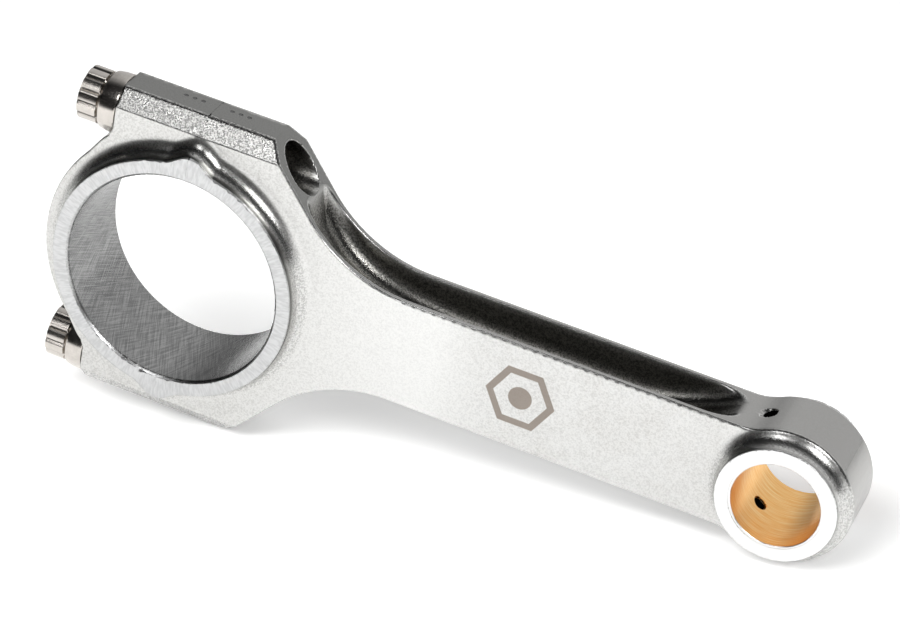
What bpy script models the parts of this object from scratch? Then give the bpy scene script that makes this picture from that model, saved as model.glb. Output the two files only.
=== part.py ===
"""Forged H-beam connecting rod with a two-bolt cap, as an assembly of its seven separate pieces.

Frame: +X runs along the rod from the crank end to the pin end, +Y along both bores and +Z across
the beam.  The rod stands on the side flats of its crank end: the origin is the middle of the
bounding box's underside.  All lengths are in metres.
"""

import math

import bmesh
import bpy
from mathutils import Matrix, Vector

# Driving dimensions
CENTRE_DISTANCE = 0.1440    # crank bore axis to pin bore axis
CRANK_BORE_R = 0.0254
RING_R = 0.0292             # outer edge of the machined thrust ring
RING_HALF_WIDTH = 0.01225
TAB_HEIGHT = 0.0024         # how far the thrust ring bulges at the parting line
TAB_HALF_LENGTH = 0.0065
COVE_R = 0.0039             # hollow fillet between a ring and the forged face
PIN_BORE_R = 0.0100
BOSS_R = 0.01365
BOSS_HALF_WIDTH = 0.0120
BOSS_COVE_R = 0.0042
EYE_R = 0.0162
FORGING_HALF_WIDTH = 0.0075
SIDE_HEIGHT = 0.0388        # crank bore axis to the side flats
SIDE_FLAT_HALF_WIDTH = 0.0040
BEVEL_HEIGHT = 0.0040       # drop from a side flat to the front face
CAP_R = 0.0335
SEAT_X = -0.0207            # bolt seats on the cap, from the parting line
SEAT_LENGTH_Z = 0.0123      # how far down from the side flat a seat reaches
SEAT_CUTTER_R = 0.0076
SEAT_STEP_DOWN = 0.0008     # where the cap's round back stops, below the seat's lower end
SEAT_STEP_UP = 0.0012       # where the seat itself starts, above that end
SHOULDER_X = 0.0160
SHOULDER_SLOPE = math.radians(49)
BEAM_HALF_HEIGHT = 0.0130
NECK_R = 0.0340
EYE_BLEND_R = 0.0140
FLUTE_HALF_WIDTH = 0.0059
WEB_HALF_THICKNESS = 0.0040
FLUTE_START_X = 0.0262
FLUTE_DIVE_LENGTH = 0.0480
FLUTE_END_X = 0.1315
FLUTE_RUN_OUT_R = 0.0500
LID_LIFT = 0.0020           # how far the flute cutter's lid clears the beam
LID_NECK_LIFT = 0.0070      # and the hollow of the neck
LID_NECK_X = 0.0402
LID_BEAM_X = 0.0600
BOLT_Z = 0.0318             # bolt axis above and below the crank bore axis
BOLT_SHANK_R = 0.00475
BOLT_HOLE_R = 0.0051
BOLT_LENGTH = 0.0350        # under the flange
FLANGE_R = 0.0069
FLANGE_THICKNESS = 0.0042
HEAD_LENGTH = 0.0052
HEAD_ACROSS_FLATS = 0.0111
HEAD_POINT_RATIO = 1.035    # blunted point radius over valley radius
HEAD_SINK = 0.0004          # overlap of the head's blank with the flange
DIMPLE_R = 0.0028
DIMPLE_DEPTH = 0.0012
FLANGE_CROWN = 0.0008       # rise of the flange's top towards the head
BOLT_CHAMFER = 0.0006
BOLT_NECK_STEP = 0.0005
SLEEVE_R = 0.00565
SLEEVE_WALL = 0.00055
SLEEVE_HALF_LENGTH = 0.0040
BUSHING_WALL = 0.0012
OIL_HOLE_R = 0.0016
OIL_HOLE_LENGTH = 0.0120
OIL_HOLE_ANGLE = math.radians(120)  # each side of the rod's outward axis
GAP = 0.0003                # clearance between touching pieces
BLANK_OVERLAP = 0.0010      # how far a forging blank runs past the parting line
RING_BLANK_WALL = 0.0020    # how far a ring's blank reaches inside its bore
COVE_SINK = 0.0001          # how far a cove's foot lies under the forged face
THROUGH_LENGTH = 0.0500     # cutters longer than the rod is wide
REACH = 0.0600              # half-size of a block that covers a whole end
TRIM = 0.0001               # keeps a blank's trimmed side just inside the forging

CRANK_X = -(CENTRE_DISTANCE + EYE_R - CAP_R) / 2
CRANK = Vector((CRANK_X, 0, SIDE_HEIGHT))
PIN = CRANK + Vector((CENTRE_DISTANCE, 0, 0))
AXIS_Y = Matrix.Rotation(math.radians(90), 4, "X")    # local Z -> world -Y
AXIS_X = Matrix.Rotation(math.radians(90), 4, "Y")    # local Z -> world +X
ROUND_STEPS = 64


def clear_scene():
    for item in list(bpy.data.objects):
        bpy.data.objects.remove(item, do_unlink=True)


def new_collection(name):
    collection = bpy.data.collections.new(name)
    bpy.context.scene.collection.children.link(collection)
    return collection


def make_material(name, colour, roughness, metallic):
    material = bpy.data.materials.new(name)
    material.use_nodes = True
    shader = material.node_tree.nodes["Principled BSDF"]
    shader.inputs["Base Color"].default_value = (*colour, 1)
    shader.inputs["Roughness"].default_value = roughness
    shader.inputs["Metallic"].default_value = metallic
    return material


def add_object(name, mesh, collection, matrix=None):
    item = bpy.data.objects.new(name, mesh)
    collection.objects.link(item)
    if matrix is not None:
        item.matrix_world = matrix
    return item


def as_cutter(item):
    item.hide_render = True
    item.display_type = "WIRE"
    return item


def extruded(name, outline, half_depth, collection, matrix):
    """A closed outline in local XY, filled and extruded both ways along local Z."""
    curve = bpy.data.curves.new(name, "CURVE")
    curve.dimensions = "2D"
    curve.fill_mode = "BOTH"
    curve.extrude = half_depth
    spline = curve.splines.new("POLY")
    spline.points.add(len(outline) - 1)
    for point, (x, y) in zip(spline.points, outline):
        point.co = (x, y, 0, 1)
    spline.use_cyclic_u = True
    flat = add_object(name + "_outline", curve, collection, matrix)
    bpy.context.view_layer.update()
    evaluated = flat.evaluated_get(bpy.context.evaluated_depsgraph_get())
    mesh = bpy.data.meshes.new_from_object(evaluated)
    mesh.name = name
    bpy.data.objects.remove(flat, do_unlink=True)
    body = bmesh.new()
    body.from_mesh(mesh)
    bmesh.ops.remove_doubles(body, verts=body.verts, dist=1e-7)
    bmesh.ops.recalc_face_normals(body, faces=body.faces)
    body.to_mesh(mesh)
    body.free()
    return add_object(name, mesh, collection, matrix)


def turned(name, profile, closed, collection, matrix, steps=ROUND_STEPS):
    """A profile of (radius, height) pairs turned about local Z."""
    mesh = bpy.data.meshes.new(name)
    edges = [(i, i + 1) for i in range(len(profile) - 1)]
    if closed:
        edges.append((len(profile) - 1, 0))
    mesh.from_pydata([(radius, 0, height) for radius, height in profile], edges, [])
    item = add_object(name, mesh, collection, matrix)
    screw = item.modifiers.new("Turn", "SCREW")
    screw.steps = steps
    screw.render_steps = steps
    screw.use_merge_vertices = True
    screw.merge_threshold = 1e-6
    return item


def cylinder(name, radius, length, collection, matrix, steps=ROUND_STEPS):
    """A cylinder along local Z, centred on the matrix's origin."""
    mesh = bpy.data.meshes.new(name)
    body = bmesh.new()
    bmesh.ops.create_cone(
        body, cap_ends=True, segments=steps, radius1=radius, radius2=radius, depth=length
    )
    body.to_mesh(mesh)
    body.free()
    return add_object(name, mesh, collection, matrix)


def combine(item, other, operation):
    boolean = item.modifiers.new(other.name, "BOOLEAN")
    boolean.operation = operation
    boolean.object = other
    boolean.solver = "EXACT"


def combine_all(item, others, operation):
    """One Boolean with several blanks at once, kept together in a collection of their own."""
    name = f"{item.name}_{operation.lower()}"
    group = bpy.data.collections.new(name)
    bpy.data.collections["cutters"].children.link(group)
    for other in others:
        group.objects.link(other)
    boolean = item.modifiers.new(name, "BOOLEAN")
    boolean.operation = operation
    boolean.operand_type = "COLLECTION"
    boolean.collection = group
    boolean.solver = "EXACT"


def arc(centre_x, centre_y, radius, start, end, steps):
    """Points along an arc, from start to end in radians."""
    return [
        (
            centre_x + radius * math.cos(start + (end - start) * i / steps),
            centre_y + radius * math.sin(start + (end - start) * i / steps),
        )
        for i in range(steps + 1)
    ]


def mirrored(upper):
    """Close an upper outline, running in +X, with its own mirror image below."""
    return upper + [(x, -y) for x, y in reversed(upper) if y > 1e-9]


def neck_points():
    """Shoulder, straight slope and the neck's arc into the beam."""
    corner_x = SHOULDER_X + (SIDE_HEIGHT - BEAM_HALF_HEIGHT) / math.tan(SHOULDER_SLOPE)
    centre_x = corner_x + NECK_R * math.tan(SHOULDER_SLOPE / 2)
    centre_z = BEAM_HALF_HEIGHT + NECK_R
    start = -math.pi / 2 - SHOULDER_SLOPE
    return arc(centre_x, centre_z, NECK_R, start, -math.pi / 2, 12)


def eye_points(inset=0.0):
    """The blend from the beam into the pin eye, and a quarter of the eye."""
    blend_r = EYE_BLEND_R + inset
    rise = BEAM_HALF_HEIGHT + EYE_BLEND_R
    reach = EYE_R + EYE_BLEND_R
    run = math.sqrt(reach**2 - rise**2)
    centre_x = CENTRE_DISTANCE - run
    meet = math.atan2(rise, -run)
    blend = arc(centre_x, rise, blend_r, -math.pi / 2, meet - math.pi, 5)
    eye = arc(CENTRE_DISTANCE, 0, EYE_R - inset, meet, 0, 14)
    return blend + eye[1:]


def rod_outline():
    flat = [(-BLANK_OVERLAP, SIDE_HEIGHT), (SHOULDER_X, SIDE_HEIGHT)]
    return mirrored(flat + neck_points() + eye_points())


def cap_outline():
    """Side flats, bolt seats and the round back of the cap, to the parting line."""
    seat_z = SIDE_HEIGHT - SEAT_LENGTH_Z
    start = math.pi - math.asin((seat_z - SEAT_STEP_DOWN) / CAP_R)
    back = arc(0, 0, CAP_R, math.pi, start, 16)
    seat = [(SEAT_X, seat_z + SEAT_STEP_UP), (SEAT_X, SIDE_HEIGHT)]
    return mirrored(back + seat + [(BLANK_OVERLAP, SIDE_HEIGHT)])


def end_section():
    """Section across the rod: front and back faces, bevels and side flats."""
    bevel_z = SIDE_HEIGHT - BEVEL_HEIGHT
    quarter = [(bevel_z, FORGING_HALF_WIDTH), (SIDE_HEIGHT, SIDE_FLAT_HALF_WIDTH)]
    right = quarter + [(z, -y) for z, y in reversed(quarter)]
    return right + [(-z, y) for z, y in reversed(right)]


def ring_profile(inner, outer, half_width, cove):
    """Half-section of a raised ring whose walls run into the forged faces through coves."""
    upper = [(inner, half_width), (outer, half_width)]
    centre_y = FORGING_HALF_WIDTH + cove - COVE_SINK
    upper += arc(outer + cove, centre_y, cove, math.pi, 1.5 * math.pi, 5)
    return upper + [(radius, -height) for radius, height in reversed(upper)]


def tab_outline():
    """The thrust ring's bulge at the parting line, on both sides of the bore."""
    steps = 10
    top = []
    for i in range(steps + 1):
        x = TAB_HALF_LENGTH * (2 * i / steps - 1)
        swell = math.cos(math.pi * x / (2 * TAB_HALF_LENGTH)) ** 2
        top.append((x, math.sqrt(RING_R**2 - x**2) + TAB_HEIGHT * swell))
    root_z = (CRANK_BORE_R + RING_R) / 2
    return top + [(TAB_HALF_LENGTH, root_z), (-TAB_HALF_LENGTH, root_z)]


def surface_z(x):
    """Height of the neck and beam's outer surface above the rod's axis."""
    tangent_x = neck_points()[-1][0]
    if x >= tangent_x:
        return BEAM_HALF_HEIGHT
    start_x = neck_points()[0][0]
    if x <= start_x:
        return SIDE_HEIGHT - (x - SHOULDER_X) * math.tan(SHOULDER_SLOPE)
    return BEAM_HALF_HEIGHT + NECK_R - math.sqrt(NECK_R**2 - (tangent_x - x) ** 2)


def flute_floor():
    """The flute's floor: it dives in below the bolt hole and climbs out on an arc before the eye."""
    full_depth = BEAM_HALF_HEIGHT - WEB_HALF_THICKNESS
    dive_steps = 12
    floor = []
    for i in range(dive_steps + 1):
        x = FLUTE_START_X + FLUTE_DIVE_LENGTH * i / dive_steps
        floor.append((x, surface_z(x) - full_depth * math.sin(i / dive_steps * math.pi / 2)))
    run_out_angle = math.acos(1 - full_depth / FLUTE_RUN_OUT_R)
    run_out_x = FLUTE_END_X - FLUTE_RUN_OUT_R * math.sin(run_out_angle)
    centre_z = WEB_HALF_THICKNESS + FLUTE_RUN_OUT_R
    return floor + arc(
        run_out_x, centre_z, FLUTE_RUN_OUT_R, -math.pi / 2, run_out_angle - math.pi / 2, 7
    )


def flute_outline():
    """Side view of the flute's cutter: its floor below, and a lid clear of the forging above."""
    lid = [
        (FLUTE_END_X + LID_LIFT, BEAM_HALF_HEIGHT + LID_LIFT),
        (LID_BEAM_X, BEAM_HALF_HEIGHT + LID_LIFT),
        (LID_NECK_X, surface_z(LID_NECK_X) + LID_NECK_LIFT),
        (FLUTE_START_X + LID_LIFT, surface_z(FLUTE_START_X) + LID_LIFT),
    ]
    return flute_floor() + lid


def flipped(outline):
    return [(x, -y) for x, y in reversed(outline)]


def at(centre, turn=AXIS_Y):
    return Matrix.Translation(centre) @ turn


def make_shared_cutters(cutters):
    """Tools that both halves of the crank end are made with."""
    across_x = Matrix.Translation(CRANK) @ Matrix.Rotation(math.radians(-90), 4, "Y")
    section = extruded("end_section", end_section(), 4 * REACH, cutters, across_x)
    profile = ring_profile(CRANK_BORE_R - RING_BLANK_WALL, RING_R, RING_HALF_WIDTH, COVE_R)
    ring = turned("thrust_ring_blank", profile, True, cutters, at(CRANK))
    bore = cylinder("crank_bore", CRANK_BORE_R, THROUGH_LENGTH, cutters, at(CRANK))
    tools = {"section": section, "ring": ring, "bore": bore, "tabs": [], "holes": [], "pockets": []}
    for side, word in ((1, "upper"), (-1, "lower")):
        outline = tab_outline() if side > 0 else flipped(tab_outline())
        tab = extruded(f"{word}_tab_blank", outline, RING_HALF_WIDTH - TRIM, cutters, at(CRANK))
        bolt_axis = at(CRANK + Vector((0, 0, side * BOLT_Z)), AXIS_X)
        hole = cylinder(f"{word}_bolt_hole", BOLT_HOLE_R, 2 * REACH, cutters, bolt_axis, 32)
        pocket_length = 2 * (SLEEVE_HALF_LENGTH + GAP)
        pocket_r = SLEEVE_R + GAP
        pocket = cylinder(f"{word}_sleeve_pocket", pocket_r, pocket_length, cutters, bolt_axis, 32)
        tools["tabs"].append(tab)
        tools["holes"].append(hole)
        tools["pockets"].append(pocket)
    for tool in [section, ring, bore] + tools["tabs"] + tools["holes"] + tools["pockets"]:
        as_cutter(tool)
    return tools


def trimming_box(name, low_x, high_x, cutters):
    """A block used to keep only one side of the parting line."""
    length = high_x - low_x
    middle = CRANK + Vector(((low_x + high_x) / 2, 0, 0))
    half = length / 2
    outline = [(-half, -REACH), (half, -REACH), (half, REACH), (-half, REACH)]
    return as_cutter(extruded(name, outline, THROUGH_LENGTH / 2, cutters, at(middle)))


def finish(item, material, smooth_angle=math.radians(35)):
    item.data.materials.clear()
    item.data.materials.append(material)
    item.data.shade_smooth()
    item.data.set_sharp_from_angle(angle=smooth_angle)


def make_rod_body(parts, cutters, tools, steel):
    """Beam, pin eye and the crank end's fixed half, forged and machined as one piece."""
    body = extruded("rod_body", rod_outline(), FORGING_HALF_WIDTH, parts, at(CRANK))
    combine(body, tools["section"], "INTERSECT")
    inner = PIN_BORE_R - RING_BLANK_WALL
    boss_profile = ring_profile(inner, BOSS_R, BOSS_HALF_WIDTH, BOSS_COVE_R)
    boss = as_cutter(turned("pin_boss_blank", boss_profile, True, cutters, at(PIN), 48))
    envelope_start = (CENTRE_DISTANCE - 2 * EYE_R, BEAM_HALF_HEIGHT - TRIM)
    eye_outline = mirrored([envelope_start] + eye_points(TRIM))
    half = THROUGH_LENGTH / 2
    envelope = as_cutter(extruded("eye_envelope", eye_outline, half, cutters, at(CRANK)))
    combine(boss, envelope, "INTERSECT")
    combine_all(body, [tools["ring"], boss] + tools["tabs"], "UNION")
    seat_r = PIN_BORE_R + BUSHING_WALL + GAP
    removed = [as_cutter(cylinder("bushing_seat", seat_r, THROUGH_LENGTH, cutters, at(PIN)))]
    removed.append(trimming_box("cap_side", -REACH, GAP / 2, cutters))
    for word, outline in (("upper", flute_outline()), ("lower", flipped(flute_outline()))):
        flute = extruded(f"{word}_flute", outline, FLUTE_HALF_WIDTH, cutters, at(CRANK))
        removed.append(as_cutter(flute))
    removed += [tools["bore"]] + tools["holes"] + tools["pockets"] + make_oil_holes(cutters)
    combine_all(body, removed, "DIFFERENCE")
    finish(body, steel)
    return body


def make_oil_holes(cutters):
    """Two drilled oil ways, from the outside of the eye into the pin bore."""
    holes = []
    for side, word in ((1, "upper"), (-1, "lower")):
        angle = side * OIL_HOLE_ANGLE
        outward = Vector((math.cos(angle), 0, math.sin(angle)))
        turn = Vector((0, 0, 1)).rotation_difference(outward).to_matrix().to_4x4()
        middle = PIN + outward * (PIN_BORE_R + OIL_HOLE_LENGTH / 3)
        hole = cylinder(f"{word}_oil_hole", OIL_HOLE_R, OIL_HOLE_LENGTH, cutters, at(middle, turn), 20)
        holes.append(as_cutter(hole))
    return holes


def make_cap(parts, cutters, tools, steel):
    cap = extruded("cap", cap_outline(), FORGING_HALF_WIDTH, parts, at(CRANK))
    combine(cap, tools["section"], "INTERSECT")
    combine_all(cap, [tools["ring"]] + tools["tabs"], "UNION")
    removed = [trimming_box("rod_side", -GAP / 2, REACH, cutters)]
    for side, word in ((1, "upper"), (-1, "lower")):
        length = THROUGH_LENGTH / 2
        middle = at(CRANK + Vector((SEAT_X - length / 2, 0, side * BOLT_Z)), AXIS_X)
        spot = cylinder(f"{word}_spot_face", SEAT_CUTTER_R, length, cutters, middle, 40)
        removed.append(as_cutter(spot))
    removed += [tools["bore"]] + tools["holes"] + tools["pockets"]
    combine_all(cap, removed, "DIFFERENCE")
    finish(cap, steel)
    return cap


def head_outline():
    """Twelve-point head: two hexagons a twelfth of a turn apart, with blunted points."""
    valley = HEAD_ACROSS_FLATS / 2 / math.cos(math.radians(15))
    point = valley * HEAD_POINT_RATIO
    outline = []
    for i in range(24):
        radius = point if i % 2 == 0 else valley
        angle = math.radians(15 * i)
        outline.append((radius * math.cos(angle), radius * math.sin(angle)))
    return outline


def make_bolt(name, side, parts, cutters, material):
    """Twelve-point flanged bolt, its head outside the cap and its shank along +X."""
    seat = CRANK + Vector((SEAT_X - GAP, 0, side * BOLT_Z))
    neck_r = BOLT_SHANK_R + BOLT_NECK_STEP
    flange_top = -FLANGE_THICKNESS
    profile = [
        (0.0, flange_top - FLANGE_CROWN),
        (neck_r, flange_top - FLANGE_CROWN),
        (FLANGE_R - BOLT_CHAMFER, flange_top),
        (FLANGE_R, flange_top + BOLT_CHAMFER),
        (FLANGE_R, 0.0),
        (BOLT_SHANK_R, 0.0),
        (BOLT_SHANK_R, BOLT_LENGTH - BOLT_CHAMFER),
        (BOLT_SHANK_R - BOLT_CHAMFER, BOLT_LENGTH),
        (0.0, BOLT_LENGTH),
    ]
    bolt = turned(name, list(reversed(profile)), False, parts, at(seat, AXIS_X), 48)
    head_middle = seat + Vector((flange_top - HEAD_SINK - HEAD_LENGTH / 2, 0, 0))
    head = extruded(name + "_head", head_outline(), HEAD_LENGTH / 2, cutters, at(head_middle, AXIS_X))
    combine(bolt, as_cutter(head), "UNION")
    dimple_middle = head_middle - Vector((HEAD_LENGTH / 2, 0, 0))
    turn = at(dimple_middle, AXIS_X)
    dimple = cylinder(name + "_dimple", DIMPLE_R, 2 * DIMPLE_DEPTH, cutters, turn, 24)
    combine(bolt, as_cutter(dimple), "DIFFERENCE")
    finish(bolt, material)
    return bolt


def make_sleeve(name, side, parts, material):
    """Hollow dowel round a bolt, half in the rod and half in the cap."""
    inner = SLEEVE_R - SLEEVE_WALL
    half = SLEEVE_HALF_LENGTH
    profile = [(inner, half), (SLEEVE_R, half), (SLEEVE_R, -half), (inner, -half)]
    centre = CRANK + Vector((0, 0, side * BOLT_Z))
    sleeve = turned(name, profile, True, parts, at(centre, AXIS_X), 32)
    finish(sleeve, material)
    return sleeve


def make_bushing(parts, cutters, bronze):
    outer = PIN_BORE_R + BUSHING_WALL
    half = BOSS_HALF_WIDTH - TRIM
    profile = [(PIN_BORE_R, half), (outer, half), (outer, -half), (PIN_BORE_R, -half)]
    bushing = turned("pin_bushing", profile, True, parts, at(PIN), 56)
    for hole in make_oil_holes(cutters):
        combine(bushing, hole, "DIFFERENCE")
    finish(bushing, bronze)
    return bushing


def main():
    clear_scene()
    parts = new_collection("connecting_rod")
    cutters = new_collection("cutters")
    forged_steel = make_material("forged_steel", (0.62, 0.62, 0.60), 0.42, 1.0)
    bolt_steel = make_material("bolt_steel", (0.34, 0.32, 0.30), 0.25, 1.0)
    dowel_steel = make_material("dowel_steel", (0.50, 0.50, 0.50), 0.30, 1.0)
    bronze = make_material("bushing_bronze", (0.78, 0.52, 0.26), 0.28, 1.0)
    tools = make_shared_cutters(cutters)
    make_rod_body(parts, cutters, tools, forged_steel)
    make_cap(parts, cutters, tools, forged_steel)
    for side, word in ((1, "upper"), (-1, "lower")):
        make_bolt(f"{word}_bolt", side, parts, cutters, bolt_steel)
        make_sleeve(f"{word}_dowel_sleeve", side, parts, dowel_steel)
    make_bushing(parts, cutters, bronze)


main()
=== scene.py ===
"""Studio scene of a forged H-beam connecting rod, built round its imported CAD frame.

The steel and bronze pieces are meshed from distance fields, in millimetres from the crank bore's
centre: x along the rod, y along the bores, z across the beam.  A field is negative inside the metal.
It describes the quarter of a piece where y and z are positive, and the rest is its mirror image.
"""

import math

import bmesh
import bpy
import numpy as np
import openvdb
from mathutils import Matrix, Vector


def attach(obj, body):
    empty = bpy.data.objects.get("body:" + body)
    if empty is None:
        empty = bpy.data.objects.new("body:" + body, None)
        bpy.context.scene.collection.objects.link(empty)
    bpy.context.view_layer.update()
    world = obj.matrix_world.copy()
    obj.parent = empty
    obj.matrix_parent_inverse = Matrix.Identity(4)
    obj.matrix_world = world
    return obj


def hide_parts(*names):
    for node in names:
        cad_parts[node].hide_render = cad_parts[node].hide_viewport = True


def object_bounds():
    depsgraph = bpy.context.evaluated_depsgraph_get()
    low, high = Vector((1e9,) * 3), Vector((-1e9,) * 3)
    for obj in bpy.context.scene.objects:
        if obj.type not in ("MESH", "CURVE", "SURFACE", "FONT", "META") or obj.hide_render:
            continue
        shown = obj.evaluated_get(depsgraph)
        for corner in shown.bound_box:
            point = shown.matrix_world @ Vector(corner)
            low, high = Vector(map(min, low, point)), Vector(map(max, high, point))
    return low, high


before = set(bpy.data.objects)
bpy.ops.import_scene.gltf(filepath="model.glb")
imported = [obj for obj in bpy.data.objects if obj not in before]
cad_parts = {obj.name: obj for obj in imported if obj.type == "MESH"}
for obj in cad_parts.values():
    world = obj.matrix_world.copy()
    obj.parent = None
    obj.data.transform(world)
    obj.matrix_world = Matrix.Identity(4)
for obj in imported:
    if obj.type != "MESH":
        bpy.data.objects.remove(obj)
cad_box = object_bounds()

MM = 0.001

# Crank end
CRANK_BORE_R = 25.4
BORE_CHAMFER = 0.6
RING_R = 29.2              # thrust ring round the bore
RING_HALF_WIDTH = 12.25
COVE_R = 3.9               # hollow fillet between ring and forging
TAB_HEIGHT = 2.45          # bulge of the thrust ring at the parting line
TAB_ANGLE = 89.0           # degrees
TAB_SPREAD = 12.5          # degrees to each side
FACE = 7.5                 # half-width of the forging
SIDE = 38.8                # crank bore axis to the side flats
FLAT_HALF_WIDTH = 4.0
BEVEL = 4.0
CAP_R = 33.5
PARTING = 0.004            # half of the hairline between cap and rod
CORE = 9.0                 # how far the outlines run past the parting line and the mirror plane

# Neck and beam
SHOULDER_X = 16.0
SLOPE = math.radians(49)
NECK_R = 34.0
BEAM = 13.0                # half-height
WEB = 4.0                  # half-thickness of the web between the flutes
FLUTE_HALF_WIDTH = 5.9
FLUTE_START = 25.5
FLUTE_START_R = 2.4
FLUTE_FILLET = 4.0
RUN_IN_X = 29.0            # the flute's floor sinks from the bolt boss
RUN_IN_RISE = 15.0
RUN_IN_LENGTH = 11.0
RUN_OUT_X = 104.0          # and climbs again before the eye
RUN_OUT_R = 38.0

# Pin end
CENTRES = 144.0            # crank bore to pin bore
EYE_R = 16.2
EYE_BLEND_R = 14.0
BOSS_R = 13.65
BOSS_HALF_WIDTH = 12.0
BOSS_COVE_R = 4.2
SEAT_R = 10.6              # bushing seat in the pin eye
SEAT_GAP = 0.02
PIN_BORE_R = 10.0
BUSHING_HALF_WIDTH = BOSS_HALF_WIDTH - 0.05
BUSHING_CHAMFER = 0.15
OIL_ANGLE = math.radians(120)
OIL_HOLE_R = 1.6
OIL_HOLE_FLARE = 0.3
BRONZE_HOLE_R = 1.5

# Bolts and dowel sleeves
BOLT_Z = 31.8
BOLT_HOLE_R = 5.05         # in the rod
CAP_HOLE_R = 4.95
SEAT_X = -20.7             # the bolt's seat on the cap
SPOT_R = 7.6
SPOT_FILLET = 0.6
SLEEVE_R = 5.9             # pocket for the sleeve, in cap and rod
SLEEVE_DEPTH = 4.2
POINTS = 12
HEAD_R = 6.25
GROOVE_DEPTH = 0.62
THREAD_PITCH = 1.0583
THREAD_R = 4.74
THREAD_DEPTH = 0.58
THREAD_START = 0.3
THREAD_END = 13.5
BOLT_SIDES = 192

# Rounding of outer edges
PROFILE_ROUND = 0.55
CAP_ROUND = 0.45
SECTION_ROUND = 0.12
EDGE_ROUND = 0.2
PARTING_ROUND = 0.02

# Marks
MARK_X = 83.2
DOT_PLACES = (-7.9, -5.8, -3.7, 3.4, 5.5, 7.6)
DOT_Y = 0.8

# Meshing
STEEL_GRID = 0.3
BRONZE_GRID = 0.24
ADAPTIVITY = 0.03
MARGIN = 0.9               # grid round a piece
CREASE = 0.78              # squared slope under which a sampled field is near a crease
PROBE = 0.02               # step for a field's slope
CORNER_PULL = 0.3          # how far in from a face's corner its shading is taken

# The cap's round back is the frame's far end, and the lower side flat is its bottom.
CRANK = Vector((cad_box[0][0] + CAP_R * MM, 0.0, cad_box[0][2] + SIDE * MM))


# ---------------------------------------------------------------- distance fields

def cut_round(a, b, radius):
    """Intersection of two fields with a rounded outer edge."""
    corner = np.sqrt(np.maximum(a + radius, 0) ** 2 + np.maximum(b + radius, 0) ** 2)
    return np.minimum(np.maximum(a, b), -radius) + corner


def join_round(a, b, radius):
    """Union of two fields with a hollow fillet between them."""
    corner = np.sqrt(np.maximum(radius - a, 0) ** 2 + np.maximum(radius - b, 0) ** 2)
    return np.maximum(np.minimum(a, b), radius) - corner


def polygon_field(points, x, z):
    """Signed distance to a closed polygon, over the grid of x and z."""
    best = np.full(np.broadcast(x, z).shape, 1e9, np.float32)
    inside = np.zeros(best.shape, bool)
    for (ax, az), (bx, bz) in zip(points, points[1:] + points[:1]):
        ex, ez = bx - ax, bz - az
        along = np.clip(((x - ax) * ex + (z - az) * ez) / (ex * ex + ez * ez + 1e-12), 0, 1)
        best = np.minimum(best, (x - ax - along * ex) ** 2 + (z - az - along * ez) ** 2)
        if az != bz:
            crossing = (az > z) != (bz > z)
            inside ^= crossing & (x < ex * (z - az) / ez + ax)
    return np.where(inside, -1, 1) * np.sqrt(best)


def arc(cx, cz, radius, start, end, steps):
    angles = np.linspace(start, end, steps + 1)
    return [(cx + radius * math.cos(a), cz + radius * math.sin(a)) for a in angles]


def rod_profile():
    """Upper side of the rod seen along the bores: shoulder, neck, beam and eye."""
    corner_x = SHOULDER_X + (SIDE - BEAM) / math.tan(SLOPE)
    neck_x = corner_x + NECK_R * math.tan(SLOPE / 2)
    neck = arc(neck_x, BEAM + NECK_R, NECK_R, -math.pi / 2 - SLOPE, -math.pi / 2, 40)
    rise = BEAM + EYE_BLEND_R
    run = math.sqrt((EYE_R + EYE_BLEND_R) ** 2 - rise ** 2)
    meet = math.atan2(rise, -run)
    blend = arc(CENTRES - run, rise, EYE_BLEND_R, -math.pi / 2, meet - math.pi, 14)
    eye = arc(CENTRES, 0, EYE_R, meet, 0, 48)
    bottom = [(CENTRES + EYE_R, -CORE), (-CORE, -CORE)]
    return [(-CORE, SIDE), (SHOULDER_X, SIDE)] + neck + blend + eye[1:] + bottom


def cap_profile():
    """Upper side of the cap: round back, the lip below the bolt seat, the seat and the side flat."""
    back = arc(0, 0, CAP_R, math.pi, math.radians(140), 30)
    lip = [(-23.2, 25.4), (-22.4, 26.4), (-21.5, 27.3), (SEAT_X, 29.2)]
    return [(CORE, -CORE), (-CAP_R, -CORE)] + back + lip + [(SEAT_X, SIDE), (CORE, SIDE)]


def section_field(y, z):
    """Front face, bevel and side flat of the crank end."""
    run = FACE - FLAT_HALF_WIDTH
    bevel = ((z - SIDE) * run + (y - FLAT_HALF_WIDTH) * BEVEL) / math.hypot(run, BEVEL)
    return cut_round(y - FACE, bevel, SECTION_ROUND)


def crank_end_field(x, y, z):
    """Forged section with the thrust ring standing on it, its hollow cove and its two bulges."""
    radius = np.sqrt(x ** 2 + z ** 2)
    angle = np.degrees(np.arctan2(z, x))
    swell = np.cos(np.clip((angle - TAB_ANGLE) / TAB_SPREAD, -1, 1) * math.pi / 2) ** 2
    wall = radius - RING_R - TAB_HEIGHT * swell
    standing = join_round(wall, section_field(y, z), COVE_R)
    return cut_round(standing, y - RING_HALF_WIDTH, EDGE_ROUND)


def bore_field(radius, y, bore, face, chamfer):
    """A through bore with a chamfer at each face."""
    cone = (radius - bore - (y - face + chamfer)) / math.sqrt(2)
    return np.minimum(radius - bore, cone)


def crank_bore_field(x, y, z):
    radius = np.sqrt(x ** 2 + z ** 2)
    return bore_field(radius, y, CRANK_BORE_R, RING_HALF_WIDTH, BORE_CHAMFER)


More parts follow.
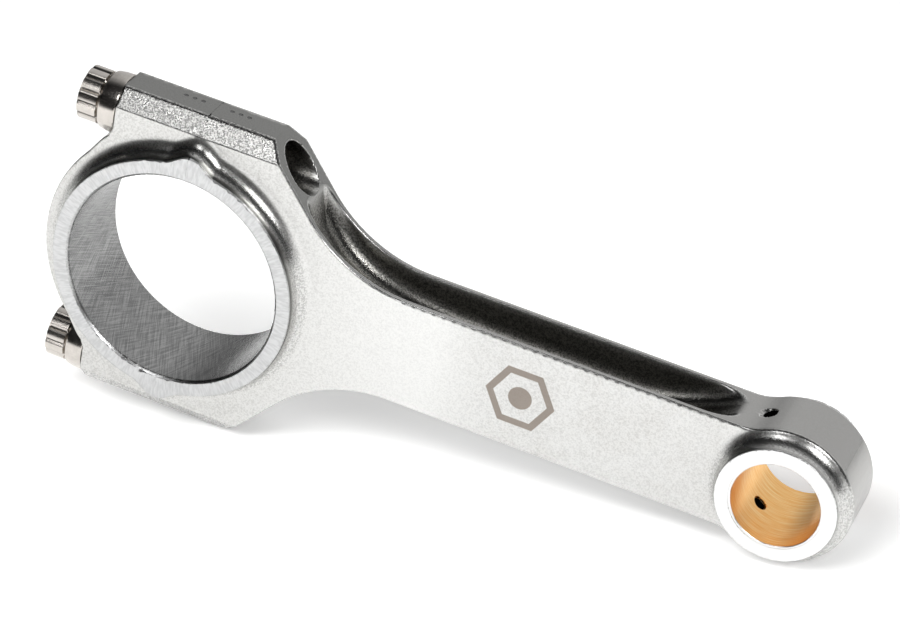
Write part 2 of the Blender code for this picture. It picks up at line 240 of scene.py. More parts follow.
def flute_field(x, y, z):
    """The long pocket between the beam's flanges."""
    dive = RUN_IN_RISE * np.exp(-(x - RUN_IN_X) / RUN_IN_LENGTH)
    climb = np.maximum(x - RUN_OUT_X, 0)
    floor = WEB + dive + climb ** 2 / (2 * RUN_OUT_R)
    slope = -dive / RUN_IN_LENGTH + climb / RUN_OUT_R
    depth = (floor - z) / np.sqrt(1 + slope ** 2)
    walls = cut_round(y - FLUTE_HALF_WIDTH, FLUTE_START - x, FLUTE_START_R)
    return cut_round(walls, depth, FLUTE_FILLET)


def oil_hole_field(x, y, z, radius, flare):
    """A drilled way to the pin bore, on the crank side, that opens out at the eye and in the bronze."""
    along = (x - CENTRES) * math.cos(OIL_ANGLE) + z * math.sin(OIL_ANGLE)
    across = -(x - CENTRES) * math.sin(OIL_ANGLE) + z * math.cos(OIL_ANGLE)
    off_axis = np.sqrt(across ** 2 + y ** 2)
    outer = (off_axis - radius - np.maximum(along - EYE_R + flare, 0)) / math.sqrt(2)
    inner = off_axis - radius - np.maximum(PIN_BORE_R + 0.4 - along, 0) * 0.4
    far_side = 50.0
    return np.where(along > 0, np.minimum(np.minimum(off_axis - radius, outer), inner), far_side)


def rod_field(x, y, z):
    pin_r = np.sqrt((x - CENTRES) ** 2 + z ** 2)
    bolt_r = np.sqrt(y ** 2 + (z - BOLT_Z) ** 2)
    boss = join_round(pin_r - BOSS_R, section_field(y, z), BOSS_COVE_R)
    boss = cut_round(boss, y - BOSS_HALF_WIDTH, EDGE_ROUND)
    body = np.minimum(crank_end_field(x, y, z), boss)
    body = cut_round(body, polygon_field(rod_profile(), x, z), PROFILE_ROUND)
    body = cut_round(body, -flute_field(x, y, z), PROFILE_ROUND)
    body = cut_round(body, BOLT_HOLE_R - bolt_r, EDGE_ROUND)
    body = np.maximum(body, -np.maximum(bolt_r - SLEEVE_R, x - SLEEVE_DEPTH))
    body = np.maximum(body, -crank_bore_field(x, y, z))
    body = np.maximum(body, SEAT_R - pin_r)
    body = cut_round(body, -oil_hole_field(x, y, z, OIL_HOLE_R, OIL_HOLE_FLARE), 0.1)
    return cut_round(body, PARTING - x, PARTING_ROUND)


def cap_field(x, y, z):
    bolt_r = np.sqrt(y ** 2 + (z - BOLT_Z) ** 2)
    body = cut_round(crank_end_field(x, y, z), polygon_field(cap_profile(), x, z), CAP_ROUND)
    body = cut_round(body, -cut_round(bolt_r - SPOT_R, x - SEAT_X, SPOT_FILLET), EDGE_ROUND)
    body = np.maximum(body, CAP_HOLE_R - bolt_r)
    body = np.maximum(body, -np.maximum(bolt_r - SLEEVE_R, -SLEEVE_DEPTH - x))
    body = np.maximum(body, -crank_bore_field(x, y, z))
    return cut_round(body, x + PARTING, PARTING_ROUND)


def bushing_field(x, y, z):
    pin_r = np.sqrt((x - CENTRES) ** 2 + z ** 2)
    body = cut_round(pin_r - SEAT_R + SEAT_GAP, y - BUSHING_HALF_WIDTH, 0.05)
    bore = bore_field(pin_r, y, PIN_BORE_R, BUSHING_HALF_WIDTH, BUSHING_CHAMFER)
    body = np.maximum(body, -bore)
    return cut_round(body, -oil_hole_field(x, y, z, BRONZE_HOLE_R, 0.0), 0.15)


# ---------------------------------------------------------------- meshing

def field_at(function, points):
    """A field at points in any quarter."""
    return function(points[:, 0], np.abs(points[:, 1]), np.abs(points[:, 2]))


def sample(field, low, spacing, points):
    """Trilinear value of a sampled field at points in millimetres."""
    cell = (points - low) / spacing
    base = np.clip(np.floor(cell).astype(int), 0, np.array(field.shape) - 2)
    t = cell - base
    value = 0
    for corner in range(8):
        step = np.array([corner >> 2 & 1, corner >> 1 & 1, corner & 1])
        weight = np.prod(np.where(step == 1, t, 1 - t), axis=1)
        i, j, k = (base + step).T
        value = value + weight * field[i, j, k]
    return value


def sampled_piece(function, low, high, spacing):
    """Samples a quarter of a piece and mirrors it across y and z; also gives the first sample's place."""
    counts = [int(math.ceil((h - l) / spacing)) + 1 for l, h in zip(low, high)]
    x = (low[0] + spacing * np.arange(counts[0], dtype=np.float32))[:, None, None]
    y = (spacing * (0.5 + np.arange(counts[1], dtype=np.float32)))[None, :, None]
    z = (spacing * (0.5 + np.arange(counts[2], dtype=np.float32)))[None, None, :]
    quarter = function(x, y, z).astype(np.float32)
    half = np.concatenate([quarter[:, ::-1], quarter], axis=1)
    whole = np.concatenate([half[:, :, ::-1], half], axis=2)
    first = np.array([low[0], -spacing * (counts[1] - 0.5), -spacing * (counts[2] - 0.5)])
    return np.clip(whole, -3 * spacing, 3 * spacing), first


def settle(points, whole, first, spacing):
    """Moves points onto the sampled surface, and says which of them are near a crease."""
    reach = spacing * 0.5
    for _ in range(3):
        value = sample(whole, first, spacing, points)
        slope = np.stack(
            [
                sample(whole, first, spacing, points + step)
                - sample(whole, first, spacing, points - step)
                for step in np.eye(3) * reach
            ],
            axis=1,
        ) / (2 * reach)
        size = np.maximum((slope ** 2).sum(1), 0.25)
        points = points - slope * np.clip(value / size, -reach, reach)[:, None]
    return points, (slope ** 2).sum(1) < CREASE


def sharpen(function, points, spacing):
    """Moves points near a crease onto it, to where the surfaces round about them meet."""
    corners = np.array([(i, j, k) for i in (-1, 1) for j in (-1, 1) for k in (-1, 1)]) * spacing / 2
    near = (points[:, None] + corners).reshape(-1, 3)
    steps = np.eye(3) * PROBE
    slopes = [field_at(function, near + step) - field_at(function, near - step) for step in steps]
    normals = np.stack(slopes, axis=1)
    normals /= np.maximum(np.linalg.norm(normals, axis=1), 1e-6)[:, None]
    feet = (near - normals * field_at(function, near)[:, None]).reshape(-1, 8, 3)
    normals = normals.reshape(-1, 8, 3)
    gap = np.linalg.norm(feet - points[:, None], axis=2)
    weight = np.exp(-((gap / spacing) ** 2))[:, :, None]
    centre = (feet * weight).sum(1) / weight.sum(1)
    pull = ((feet - centre[:, None]) * normals).sum(2, keepdims=True)
    stay = 0.04 * np.eye(3)
    matrix = np.einsum("nki,nkj->nij", normals * weight, normals) + stay
    move = np.linalg.solve(matrix, (normals * weight * pull).sum(1)[:, :, None])[:, :, 0]
    target = centre + move
    far = np.linalg.norm(target - points, axis=1) > spacing
    return np.where(far[:, None], points, target)


def shade_from_field(mesh, function, points):
    """Gives each face corner the field's slope a little way in from the corner, so edges stay crisp."""
    vertex = np.zeros(len(mesh.loops), np.int32)
    mesh.loops.foreach_get("vertex_index", vertex)
    sides = np.zeros(len(mesh.polygons), np.int32)
    mesh.polygons.foreach_get("loop_total", sides)
    corners = points[vertex]
    starts = np.concatenate([[0], np.cumsum(sides)[:-1]])
    centres = np.add.reduceat(corners, starts, axis=0) / sides[:, None]
    inner = corners + (np.repeat(centres, sides, axis=0) - corners) * CORNER_PULL
    tips = np.array([(1, 1, 1), (1, -1, -1), (-1, 1, -1), (-1, -1, 1)])
    slope = sum(tip * field_at(function, inner + tip * PROBE)[:, None] for tip in tips)
    slope /= np.maximum(np.linalg.norm(slope, axis=1), 1e-6)[:, None]
    mesh.normals_split_custom_set(slope.tolist())


def recess(points):
    """How deep a point lies in a flute or a hole, from 0 at the forging's outer surface to 1; the materials
    paint shade by it.
    """
    x, y, z = points[:, 0], np.abs(points[:, 1]), np.abs(points[:, 2])
    touch = 0.15
    sunk = np.clip((-polygon_field(rod_profile(), x, z) - 0.2) / 1.5, 0, 1)
    in_flute = flute_field(x, y, z) < touch
    in_hole = np.hypot(y, z - BOLT_Z) < BOLT_HOLE_R + touch
    in_oil_hole = oil_hole_field(x, y, z, OIL_HOLE_R, OIL_HOLE_FLARE) < touch
    in_oil_hole &= np.abs(np.hypot(x - CENTRES, z) - (PIN_BORE_R + SEAT_R) / 2) < touch
    return np.where(in_oil_hole, 1.0, sunk * (in_flute | in_hole) * (x > 5.0))


def add_object(name, mesh):
    item = bpy.data.objects.new(name, mesh)
    bpy.context.scene.collection.objects.link(item)
    return item


def mesh_from_field(name, function, low, high, spacing):
    """Meshes a piece where its field is 0, inside the box from low to high and its mirror images."""
    whole, first = sampled_piece(function, low, high, spacing)
    grid = openvdb.FloatGrid(3 * spacing)
    grid.copyFromArray(np.ascontiguousarray(whole))
    points, triangles, quads = grid.convertToPolygons(0.0, ADAPTIVITY)
    points, creased = settle(points * spacing + first, whole, first, spacing)
    points[creased] = sharpen(function, points[creased], spacing)
    mesh = bpy.data.meshes.new(name)
    places = (points * MM + np.array(CRANK)).tolist()
    mesh.from_pydata(places, [], triangles.tolist() + quads.tolist())
    mesh.shade_smooth()
    hidden = mesh.attributes.new("recess", "FLOAT", "POINT")
    hidden.data.foreach_set("value", recess(points).astype(np.float32))
    shade_from_field(mesh, function, points)
    return add_object(name, mesh)


def make_rod():
    """The grid starts half a cell further out, so that none of its planes lies on the parting face."""
    low = (-MARGIN - STEEL_GRID / 2, 0, 0)
    high = (CENTRES + EYE_R + MARGIN, RING_HALF_WIDTH + MARGIN, SIDE + MARGIN)
    return mesh_from_field("rod_forging", rod_field, low, high, STEEL_GRID)


def make_cap():
    low = (-CAP_R - MARGIN, 0, 0)
    high = (MARGIN, RING_HALF_WIDTH + MARGIN, SIDE + MARGIN)
    return mesh_from_field("cap_forging", cap_field, low, high, STEEL_GRID)


def make_bushing():
    reach = SEAT_R + 0.6 + MARGIN
    low = (CENTRES - reach, 0, 0)
    high = (CENTRES + reach, BOSS_HALF_WIDTH + MARGIN, reach)
    return mesh_from_field("bronze_bushing", bushing_field, low, high, BRONZE_GRID)


def twelve_point(angle):
    """Radius of the bolt head's wrenching outline: twelve blunt points with a groove between each two."""
    sector = 2 * math.pi / POINTS
    off_point = np.degrees(np.abs((angle + sector / 2) % sector - sector / 2))
    return HEAD_R - GROOVE_DEPTH * np.clip((off_point - 8.6) / 6.4, 0, 1)


def thread_radius(x, angle):
    """Radius of the right-handed thread, with flat crests and a taper at the bolt's end."""
    phase = (x / THREAD_PITCH - angle / (2 * math.pi)) % 1.0
    groove = np.clip(1.25 * np.abs(2 * phase - 1) - 0.12, 0, 1)
    return np.minimum(THREAD_R - THREAD_DEPTH * groove, 4.1 + THREAD_END - x)


def bolt_stations():
    """(x, radius, kind) along the bolt from the middle of its head to its end, kind naming the surface."""
    dished_top = [
        (-29.9, 0.0), (-29.9, 1.2), (-29.95, 1.9), (-30.5, 2.5), (-30.95, 2.9), (-31.08, 3.2), (-31.1, 4.6),
    ]
    groove = [(-25.72, 5.35), (-25.55, 5.2), (-25.38, 5.35)]
    flange = [
        (-25.28, 6.4), (-25.2, 6.6), (-25.0, 6.72), (-24.4, 6.8), (-23.6, 6.95), (-21.3, 7.05),
        (-21.05, 6.95), (-20.85, 6.65), (-20.75, 6.3), (-20.75, 5.1), (-20.4, 4.78), (-19.8, 4.7),
    ]
    shank = [(-16.0, 4.7), (-15.0, 4.35), (-6.0, 4.35), (-5.0, 4.7), (-1.2, 4.7), (0.2, 4.3)]
    end = [(THREAD_END, 4.05), (14.0, 3.6), (14.0, 0.0)]
    turns = (THREAD_END - 0.5) / THREAD_PITCH
    stations = [(x, r, "plain") for x, r in dished_top]
    stations += [(-31.1 + 0.09 * i, 4.75 + 0.25 * i, "head") for i in range(7)]
    stations += [(x, 6.5, "head") for x in (-29.9, -28.5, -27.0, -26.05)] + [(-25.85, 5.75, "head")]
    stations += [(x, r, "plain") for x, r in groove + flange + shank]
    stations += [(THREAD_START + THREAD_PITCH / 8 * i, THREAD_R, "thread") for i in range(int(turns * 8) + 1)]
    return stations + [(x, r, "plain") for x, r in end]


def make_bolt(name, side, turn):
    """Twelve-point flanged bolt, meshed on a polar grid round its own axis."""
    angle = np.arange(BOLT_SIDES) * 2 * math.pi / BOLT_SIDES
    places, faces, rows = [], [], []
    for x, radius, kind in bolt_stations():
        if radius == 0:
            rows.append([len(places)] * BOLT_SIDES)
            places.append((x, 0.0, BOLT_Z * side))
            continue
        ring = np.full(BOLT_SIDES, radius)
        if kind == "head":
            ring = np.minimum(ring, twelve_point(angle + turn))
        if kind == "thread":
            ring = thread_radius(x, angle)
        rows.append(list(range(len(places), len(places) + BOLT_SIDES)))
        places += [(x, r * math.cos(a), r * math.sin(a) + BOLT_Z * side) for r, a in zip(ring, angle)]
    for upper, lower in zip(rows, rows[1:]):
        for i in range(BOLT_SIDES):
            j = (i + 1) % BOLT_SIDES
            faces.append(tuple(dict.fromkeys([upper[i], upper[j], lower[j], lower[i]])))
    mesh = bpy.data.meshes.new(name)
    mesh.from_pydata((np.array(places) * MM + np.array(CRANK)).tolist(), [], faces)
    body = bmesh.new()
    body.from_mesh(mesh)
    bmesh.ops.recalc_face_normals(body, faces=body.faces)
    body.to_mesh(mesh)
    body.free()
    mesh.shade_smooth()
    mesh.set_sharp_from_angle(angle=math.radians(11))
    return add_object(name, mesh)


# ---------------------------------------------------------------- materials

def fade(tree, source, start, end, first=0.0, last=1.0):
    """A smooth change from first, where source is at start, to last, where it is at end."""
    node = tree.nodes.new("ShaderNodeMapRange")
    node.interpolation_type = "SMOOTHSTEP"
    tree.links.new(source, node.inputs["Value"])
    for name, value in zip(("From Min", "From Max", "To Min", "To Max"), (start, end, first, last)):
        node.inputs[name].default_value = value
    return node.outputs[0]


class Graph:
    """Short calls for building the nodes of one metal, in millimetres from the crank bore's centre."""

    def __init__(self, name):
        self.material = bpy.data.materials.new(name)
        self.material.use_nodes = True
        self.tree = self.material.node_tree
        self.shader = self.tree.nodes["Principled BSDF"]
        self.set("Metallic", 1.0)
        coordinates = self.tree.nodes.new("ShaderNodeTexCoord")
        position = self.vector("SUBTRACT", coordinates.outputs["Object"], tuple(CRANK))
        self.position = self.vector("SCALE", position, scale=1 / MM)
        self.x, self.y, self.z = self.split(self.position)
        self.facing = self.math("ABSOLUTE", self.split(coordinates.outputs["Normal"])[1])

    def put(self, socket, value):
        if isinstance(value, bpy.types.NodeSocket):
            self.tree.links.new(value, socket)
        else:
            socket.default_value = value

    def set(self, name, value):
        self.put(self.shader.inputs[name], value)

    def math(self, operation, a, b=0.0, clamp=False):
        node = self.tree.nodes.new("ShaderNodeMath")
        node.operation = operation
        node.use_clamp = clamp
        self.put(node.inputs[0], a)
        self.put(node.inputs[1], b)
        return node.outputs[0]

    def times(self, a, b):
        return self.math("MULTIPLY", a, b)

    def add(self, a, b):
        return self.math("ADD", a, b)

    def vector(self, operation, a, b=(0, 0, 0), scale=1.0):
        node = self.tree.nodes.new("ShaderNodeVectorMath")
        node.operation = operation
        self.put(node.inputs[0], a)
        self.put(node.inputs[1], b)
        if operation == "SCALE":
            node.inputs["Scale"].default_value = scale
        return node.outputs["Value" if operation == "LENGTH" else "Vector"]

    def split(self, value):
        node = self.tree.nodes.new("ShaderNodeSeparateXYZ")
        self.put(node.inputs[0], value)
        return node.outputs

    def join(self, x, y, z):
        node = self.tree.nodes.new("ShaderNodeCombineXYZ")
        for socket, value in zip(node.inputs, (x, y, z)):
            self.put(socket, value)
        return node.outputs[0]

    def length(self, x, y):
        return self.vector("LENGTH", self.join(x, y, 0.0))

    def step(self, value, low, high):
        """0 on the low side, 1 on the high side and smooth between; low may be the larger number."""
        return fade(self.tree, value, low, high)

    def between(self, value, low, high, soft):
        inner = self.step(value, low - soft, low + soft)
        return self.math("SUBTRACT", inner, self.step(value, high - soft, high + soft), clamp=True)

    def noise(self, vector, scale, detail=2.0, rough=0.5):
        node = self.tree.nodes.new("ShaderNodeTexNoise")
        self.put(node.inputs["Vector"], vector)
        node.inputs["Scale"].default_value = scale
        node.inputs["Detail"].default_value = detail
        node.inputs["Roughness"].default_value = rough
        return node.outputs["Fac"]

    def dimples(self, vector, scale):
        node = self.tree.nodes.new("ShaderNodeTexVoronoi")
        node.feature = "SMOOTH_F1"
        self.put(node.inputs["Vector"], vector)
        node.inputs["Scale"].default_value = scale
        node.inputs["Smoothness"].default_value = 0.6
        return node.outputs["Distance"]

    def mix(self, factor, a, b):
        """Numbers or colours a and b, mixed by factor."""
        node = self.tree.nodes.new("ShaderNodeMix")
        is_colour = isinstance(a, tuple) or (isinstance(a, bpy.types.NodeSocket) and a.type == "RGBA")
        node.data_type = "RGBA" if is_colour else "FLOAT"
        sockets = [socket for socket in node.inputs if socket.enabled]
        for socket, value in zip(sockets, (factor, a, b)):
            self.put(socket, value)
        return next(socket for socket in node.outputs if socket.enabled)

    def around(self, centre_x=0.0):
        """Radius from a bore's axis and angle round it."""
        x = self.math("SUBTRACT", self.x, centre_x)
        return self.length(x, self.z), self.math("ARCTAN2", self.z, x)

    def bump(self, height, strength, distance, below=None):
        node = self.tree.nodes.new("ShaderNodeBump")
        self.put(node.inputs["Strength"], strength)
        node.inputs["Distance"].default_value = distance
        self.put(node.inputs["Height"], height)
        if below is not None:
            self.put(node.inputs["Normal"], below)
        return node.outputs["Normal"]

    def attribute(self, name):
        node = self.tree.nodes.new("ShaderNodeAttribute")
        node.attribute_name = name
        return node.outputs["Fac"]


def hexagon_mark(g):
    """A plain etched emblem for the beam: a hexagon's outline round a dot."""
    x = g.math("ABSOLUTE", g.math("SUBTRACT", g.x, MARK_X))
    z = g.math("ABSOLUTE", g.z)
    slant = g.add(g.times(x, math.cos(math.radians(30))), g.times(z, 0.5))
    outline = g.between(g.math("MAXIMUM", slant, z), 5.5, 7.1, 0.07)
    dot = g.step(g.length(x, z), 2.85, 2.7)
    on_front = g.between(g.y, -FACE - 0.2, -FACE + 0.3, 0.1)
    return g.times(g.math("MAXIMUM", outline, dot), on_front)


def pairing_dots(g):
    """Punched dots on the upper side flat, three on each side of the parting line."""
    dots = 0.0
    for x in DOT_PLACES:
        reach = g.length(g.math("SUBTRACT", g.x, x), g.math("SUBTRACT", g.y, DOT_Y))
        dots = g.math("MAXIMUM", dots, g.step(reach, 0.62, 0.42))
    return g.times(dots, g.step(g.z, SIDE - 0.4, SIDE - 0.2))


def inside_oil_hole(g):
    """1 on the wall of the drilled way from the eye's surface to the bronze."""
    x = g.math("SUBTRACT", g.x, CENTRES)
    z = g.math("ABSOLUTE", g.z)
    cosine, sine = math.cos(OIL_ANGLE), math.sin(OIL_ANGLE)
    along = g.add(g.times(x, cosine), g.times(z, sine))
    across = g.math("SUBTRACT", g.times(z, cosine), g.times(x, sine))
    near = g.step(g.length(across, g.y), OIL_HOLE_R + 0.25, OIL_HOLE_R + 0.1)
    return g.times(near, g.step(along, EYE_R - 0.15, EYE_R - 0.35))


def honing_lines(g, angle):
    """Two families of fine lines that cross on the crank bore's wall."""
    run = g.times(angle, CRANK_BORE_R)
    lean, along, across = 0.45, 3.0, 0.12
    lines = 0.0
    for way in (1.0, -1.0):
        u = g.add(run, g.times(g.y, way * lean))
        v = g.math("SUBTRACT", g.times(run, lean), g.times(g.y, way))
        family = g.noise(g.join(g.times(u, along), g.times(v, across), way * 7), 1.0, 3.0)
        lines = g.add(lines, family)
    return lines


def skin_and_shade_colour(g, blotch):
    """Peened skin with pale specks, and painted shade: front faces painted darker at the crank end, and the
    sides painted darker.
    """
    broad = g.noise(g.position, 0.09, 4.0, 0.6)
    tone = g.add(g.times(broad, 0.6), g.times(blotch, 0.4))
    beam = g.mix(g.step(tone, 0.35, 0.65), (0.50, 0.494, 0.48, 1), (0.555, 0.555, 0.546, 1))
    # painted shade: the front faces darken towards the crank end
    crank_end = g.mix(g.step(g.x, 5.0, 65.0), (0.47, 0.466, 0.452, 1), (0.66, 0.66, 0.65, 1))
    # painted shade: the sides are darker, most of all near the crank end
    sides = g.mix(g.step(g.x, 14.0, 70.0), (0.21, 0.21, 0.203, 1), (0.38, 0.376, 0.366, 1))
    colour = g.mix(g.step(g.x, 75.0, 60.0), beam, crank_end)
    colour = g.mix(g.step(g.facing, 0.3, 0.05), colour, sides)
    grain = g.noise(g.position, 2.6, 3.0, 0.65)
    amount = g.add(0.05, g.times(g.step(g.facing, 0.05, 0.3), 0.4))
    return g.mix(g.times(g.step(grain, 0.30, 0.62), amount), colour, (0.84, 0.84, 0.825, 1))


def coarseness(g, hidden):
    """How coarse the peening is: most on the crank end's bevels and in the recesses. It also places the
    painted glitter and shade of dark specks.
    """
    bevel = g.step(g.math("ABSOLUTE", g.z), SIDE - BEVEL - 0.2, SIDE - BEVEL)
    tilted = g.times(g.between(g.facing, 0.2, 0.9, 0.06), g.add(0.4, g.times(bevel, 0.6)))
    return g.math("MAXIMUM", tilted, hidden)


def ground_and_highlight_colour(g, spokes):
    """Thrust ring ground in a radial pattern, and the boss round the pin painted brighter as a highlight."""
    ring = g.mix(g.step(spokes, 0.35, 0.65), (0.49, 0.493, 0.495, 1), (0.585, 0.588, 0.59, 1))
    # painted highlight: the boss's end faces are near white
    return g.mix(g.step(g.x, 120.0, 121.0), ring, (0.84, 0.84, 0.84, 1))


def forged_steel():
    """Peened forging with machined faces, a honed bore and light etched and punched marks; shade is painted
    in the recesses, the oil hole and the bore, glints on the coarse peening, and a highlight on the boss.
    """
    g = Graph("forged_steel_peened")
    radius, angle = g.around()
    face = g.step(g.math("ABSOLUTE", g.y), 11.75, 11.9)
    bore = g.step(radius, CRANK_BORE_R + 0.35, CRANK_BORE_R + 0.2)
    hidden = g.attribute("recess")
    coarse = coarseness(g, hidden)
    mark = hexagon_mark(g)
    dots = pairing_dots(g)
    blotch = g.noise(g.position, 0.5, 3.0, 0.6)
    spokes = g.noise(g.join(g.times(angle, 60.0), g.times(radius, 0.5), g.y), 1.0, 2.0)
    hatch = honing_lines(g, angle)
    painted_glint = g.step(g.noise(g.position, 2.6, 2.0, 0.75), 0.43, 0.56)
    # honing lines, in colours kept darker than the other machined steel as painted shade inside the bore
    honed = g.mix(g.step(hatch, 0.75, 1.25), (0.18, 0.182, 0.182, 1), (0.36, 0.36, 0.358, 1))
    speck_and_shade_colour = g.mix(hidden, (0.22, 0.22, 0.215, 1), (0.12, 0.118, 0.11, 1))

    colour = g.mix(face, skin_and_shade_colour(g, blotch), ground_and_highlight_colour(g, spokes))
    colour = g.mix(bore, colour, honed)
    # painted shade: darker with depth in the flutes and the bolt holes
    colour = g.mix(hidden, colour, (0.30, 0.293, 0.275, 1))
    # painted glints and shade: dark specks between bright spots on bevels and coves, darker still in the
    # recesses
    colour = g.mix(g.times(coarse, g.math("SUBTRACT", 1.0, painted_glint)), colour, speck_and_shade_colour)
    # painted shade: the oil hole's wall is near black
    colour = g.mix(inside_oil_hole(g), colour, (0.03, 0.03, 0.03, 1))
    colour = g.mix(g.times(mark, 0.85), colour, (0.40, 0.345, 0.30, 1))
    colour = g.mix(g.times(dots, 0.7), colour, (0.10, 0.10, 0.10, 1))
    g.set("Base Color", colour)

    rough = g.mix(g.step(g.facing, 0.35, 0.9), 0.2, 0.3)
    rough = g.add(rough, g.times(g.math("SUBTRACT", blotch, 0.5), 0.1))
    rough = g.mix(face, rough, 0.30)
    rough = g.mix(bore, rough, 0.27)
    g.set("Roughness", g.mix(mark, rough, 0.7))

    peen = g.add(g.times(g.dimples(g.position, 2.0), 0.4), g.noise(g.position, 2.2, 3.0, 0.7))
    unmachined = g.math("SUBTRACT", 1.0, g.math("MAXIMUM", face, bore))
    peen_strength = g.times(unmachined, g.add(0.12, g.times(coarse, 0.88)))
    cuts = g.math("MAXIMUM", dots, g.times(mark, 0.1))
    normal = g.bump(peen, peen_strength, 0.00005)
    normal = g.bump(spokes, g.times(face, 0.35), 0.00002, normal)
    normal = g.bump(hatch, bore, 0.00003, normal)
    g.set("Normal", g.bump(cuts, 0.8, -0.0002, normal))
    return g.material


def bolt_steel():
    """Polished dark fastener steel with fine lines across its length."""
    g = Graph("bolt_steel_polished")
    blotch = g.noise(g.position, 0.8, 3.0, 0.6)
    scratch = g.noise(g.join(g.times(g.x, 6.0), g.times(g.y, 0.6), g.z), 1.0, 3.0)
    g.set("Base Color", g.mix(blotch, (0.48, 0.45, 0.42, 1), (0.66, 0.625, 0.585, 1)))
    g.set("Roughness", g.add(0.1, g.times(scratch, 0.18)))
    g.set("Normal", g.bump(scratch, 0.35, 0.00002))
    return g.material


def dowel_steel():
    """Ground steel of the alignment sleeves, with lines round them."""
    g = Graph("dowel_steel_ground")
    lines = g.noise(g.join(g.times(g.x, 8.0), g.y, g.z), 1.0, 2.0)
    g.set("Base Color", g.mix(lines, (0.42, 0.42, 0.42, 1), (0.60, 0.60, 0.59, 1)))
    g.set("Roughness", 0.3)
    g.set("Normal", g.bump(lines, 0.3, 0.00002))
    return g.material


def bronze():
    """Bored bronze with bright turning lines round the bore; its end faces, ground with the boss, are painted
    the boss's pale grey as a highlight, and its oil hole is painted dark as shade.
    """
    g = Graph("bronze_bored")
    angle = g.around(CENTRES)[1]
    lines = g.noise(g.join(g.times(angle, 1.2), g.times(g.y, 4.5), 0.0), 1.0, 3.0)
    smear = g.noise(g.join(g.times(angle, 3.0), g.times(g.y, 0.5), 3.0), 1.0, 2.0)
    highlighted_end_faces = g.step(g.math("ABSOLUTE", g.y), 11.75, 11.85)
    colour = g.mix(smear, (0.84, 0.41, 0.10, 1), (0.95, 0.55, 0.20, 1))
    colour = g.mix(g.step(lines, 0.4, 0.7), colour, (1.0, 0.72, 0.36, 1))
    # painted highlight: the end faces take the boss's pale grey
    colour = g.mix(highlighted_end_faces, colour, (0.84, 0.84, 0.84, 1))
    # painted shade: near black in the oil hole
    g.set("Base Color", g.mix(g.attribute("recess"), colour, (0.05, 0.035, 0.02, 1)))
    g.set("Roughness", g.add(0.24, g.times(lines, 0.2)))
    g.set("Normal", g.bump(lines, 0.5, 0.00004))
    return g.material


# ---------------------------------------------------------------- stage

def studio_paper():
    """Near-white paper that glows a little round the rod, so that it stays white in the picture."""
    material = bpy.data.materials.new("studio_paper")
    material.use_nodes = True
    tree = material.node_tree
    shader = tree.nodes["Principled BSDF"]
    shader.inputs["Base Color"].default_value = (0.93, 0.93, 0.925, 1)
    shader.inputs["Roughness"].default_value = 0.75
    shader.inputs["Specular IOR Level"].default_value = 0.2
    shader.inputs["Emission Color"].default_value = (1, 1, 1, 1)
    coordinates = tree.nodes.new("ShaderNodeTexCoord")
    reach = tree.nodes.new("ShaderNodeVectorMath")
    reach.operation = "LENGTH"
    tree.links.new(coordinates.outputs["Object"], reach.inputs[0])
    glow = fade(tree, reach.outputs["Value"], 0.45, 1.3, 0.32, 0.0)
    tree.links.new(glow, shader.inputs["Emission Strength"])
    return material


def make_floor():
    """Pale floor under the rod, which leans on its crank end's lower corner and on the pin eye."""
    run = CENTRES - SHOULDER_X
    slope = math.atan2(SIDE, run) - math.asin(EYE_R / math.hypot(run, SIDE))
    contact = CRANK + Vector((SHOULDER_X * MM, 0, -SIDE * MM))
    half = 3.0
    corners = [(-half, -half, 0), (half, -half, 0), (half, half, 0), (-half, half, 0)]
    mesh = bpy.data.meshes.new("studio_floor")
    mesh.from_pydata(corners, [], [(0, 1, 2, 3)])
    mesh.materials.append(studio_paper())
    floor = add_object("studio_floor", mesh)
    floor.matrix_world = Matrix.Translation(contact) @ Matrix.Rotation(-slope, 4, "Y")


def area_light(name, place, target, size, radiance, mirrored=True):
    """A soft panel. Its radiance is how bright it looks, whatever its size."""
    light = bpy.data.lights.new(name, "AREA")
    light.shape = "RECTANGLE"
    light.size, light.size_y = size
    light.energy = radiance * math.pi * light.size * light.size_y
    item = add_object(name, light)
    item.location = place
    item.rotation_euler = (Vector(target) - Vector(place)).to_track_quat("-Z", "Y").to_euler()
    item.visible_glossy = mirrored


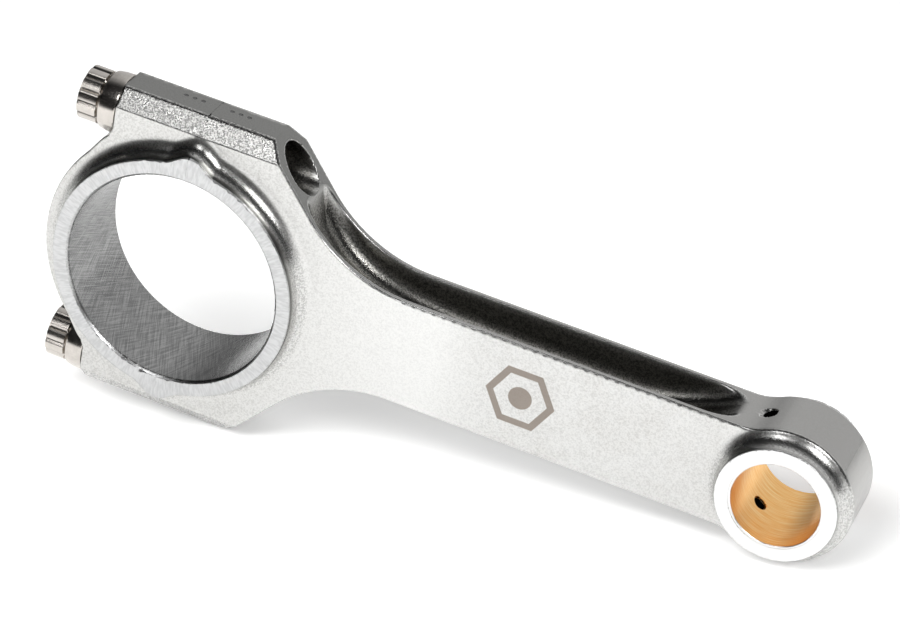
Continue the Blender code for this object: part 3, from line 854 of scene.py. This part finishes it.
def make_world():
    """Soft studio surround: light grey behind, and dark in front and to the left."""
    world = bpy.data.worlds.new("studio")
    world.use_nodes = True
    tree = world.node_tree
    background = tree.nodes["Background"]
    background.inputs["Color"].default_value = (1, 1, 1, 1)
    coordinates = tree.nodes.new("ShaderNodeTexCoord")
    parts = tree.nodes.new("ShaderNodeSeparateXYZ")
    strength = tree.nodes.new("ShaderNodeMath")
    strength.operation = "MULTIPLY"
    tree.links.new(coordinates.outputs["Generated"], parts.inputs[0])
    tree.links.new(fade(tree, parts.outputs["Y"], -0.1, 0.6, 0.03, 0.80), strength.inputs[0])
    tree.links.new(fade(tree, parts.outputs["X"], -0.8, -0.25, 0.15, 1.0), strength.inputs[1])
    tree.links.new(strength.outputs[0], background.inputs["Strength"])
    bpy.context.scene.world = world


def light_studio():
    """One broad light for the paper and its shadow, and two softboxes for the metal's highlights."""
    crank_end = (-0.06, 0, 0.05)
    bevels = (-0.06, 0, 0.07)
    area_light("paper_light", (-0.45, -0.7, 0.85), (0, 0, 0), (0.8, 0.8), 6.2, mirrored=False)
    area_light("bevel_softbox", (-0.198, -0.39, 0.516), bevels, (0.18, 0.18), 4.6)
    area_light("cove_softbox", (0.48, -0.60, 0.75), crank_end, (0.34, 0.28), 11.0)
    make_world()
    bpy.context.scene.view_settings.view_transform = "Standard"


def make_camera():
    """Seen from in front, above and towards the pin end, with the rod running down to the right."""
    data = bpy.data.cameras.new("camera")
    data.lens = 131.0
    data.sensor_width = 36.0
    data.clip_start = 0.01
    data.clip_end = 20
    camera = add_object("camera", data)
    camera.location = (0.16468, -0.58927, 0.42749)
    camera.rotation_euler = [math.radians(degrees) for degrees in (57.6608, -9.9914, 22.0285)]
    bpy.context.scene.camera = camera


# ---------------------------------------------------------------- the object

steel, bolt_finish = forged_steel(), bolt_steel()
pieces = [
    (make_rod(), "rod", "rod_body", "forged_steel", steel),
    (make_cap(), "crank_cap", "cap", "forged_steel", steel),
    (make_bushing(), "rod", "pin_bushing", "bushing_bronze", bronze()),
    (make_bolt("upper_rod_bolt", 1, 0.3), "bolt_upper", "upper_bolt", "bolt_steel", bolt_finish),
    (make_bolt("lower_rod_bolt", -1, 0.3), "bolt_lower", "lower_bolt", "bolt_steel", bolt_finish),
]
for piece, body, node, slot, finish in pieces:
    piece.data.materials.append(finish)
    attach(piece, body)
    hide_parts(node)
dowel_finish = dowel_steel()
for node in ("upper_dowel_sleeve", "lower_dowel_sleeve"):
    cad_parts[node].data.materials.clear()
    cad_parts[node].data.materials.append(dowel_finish)
make_floor()
light_studio()
make_camera()
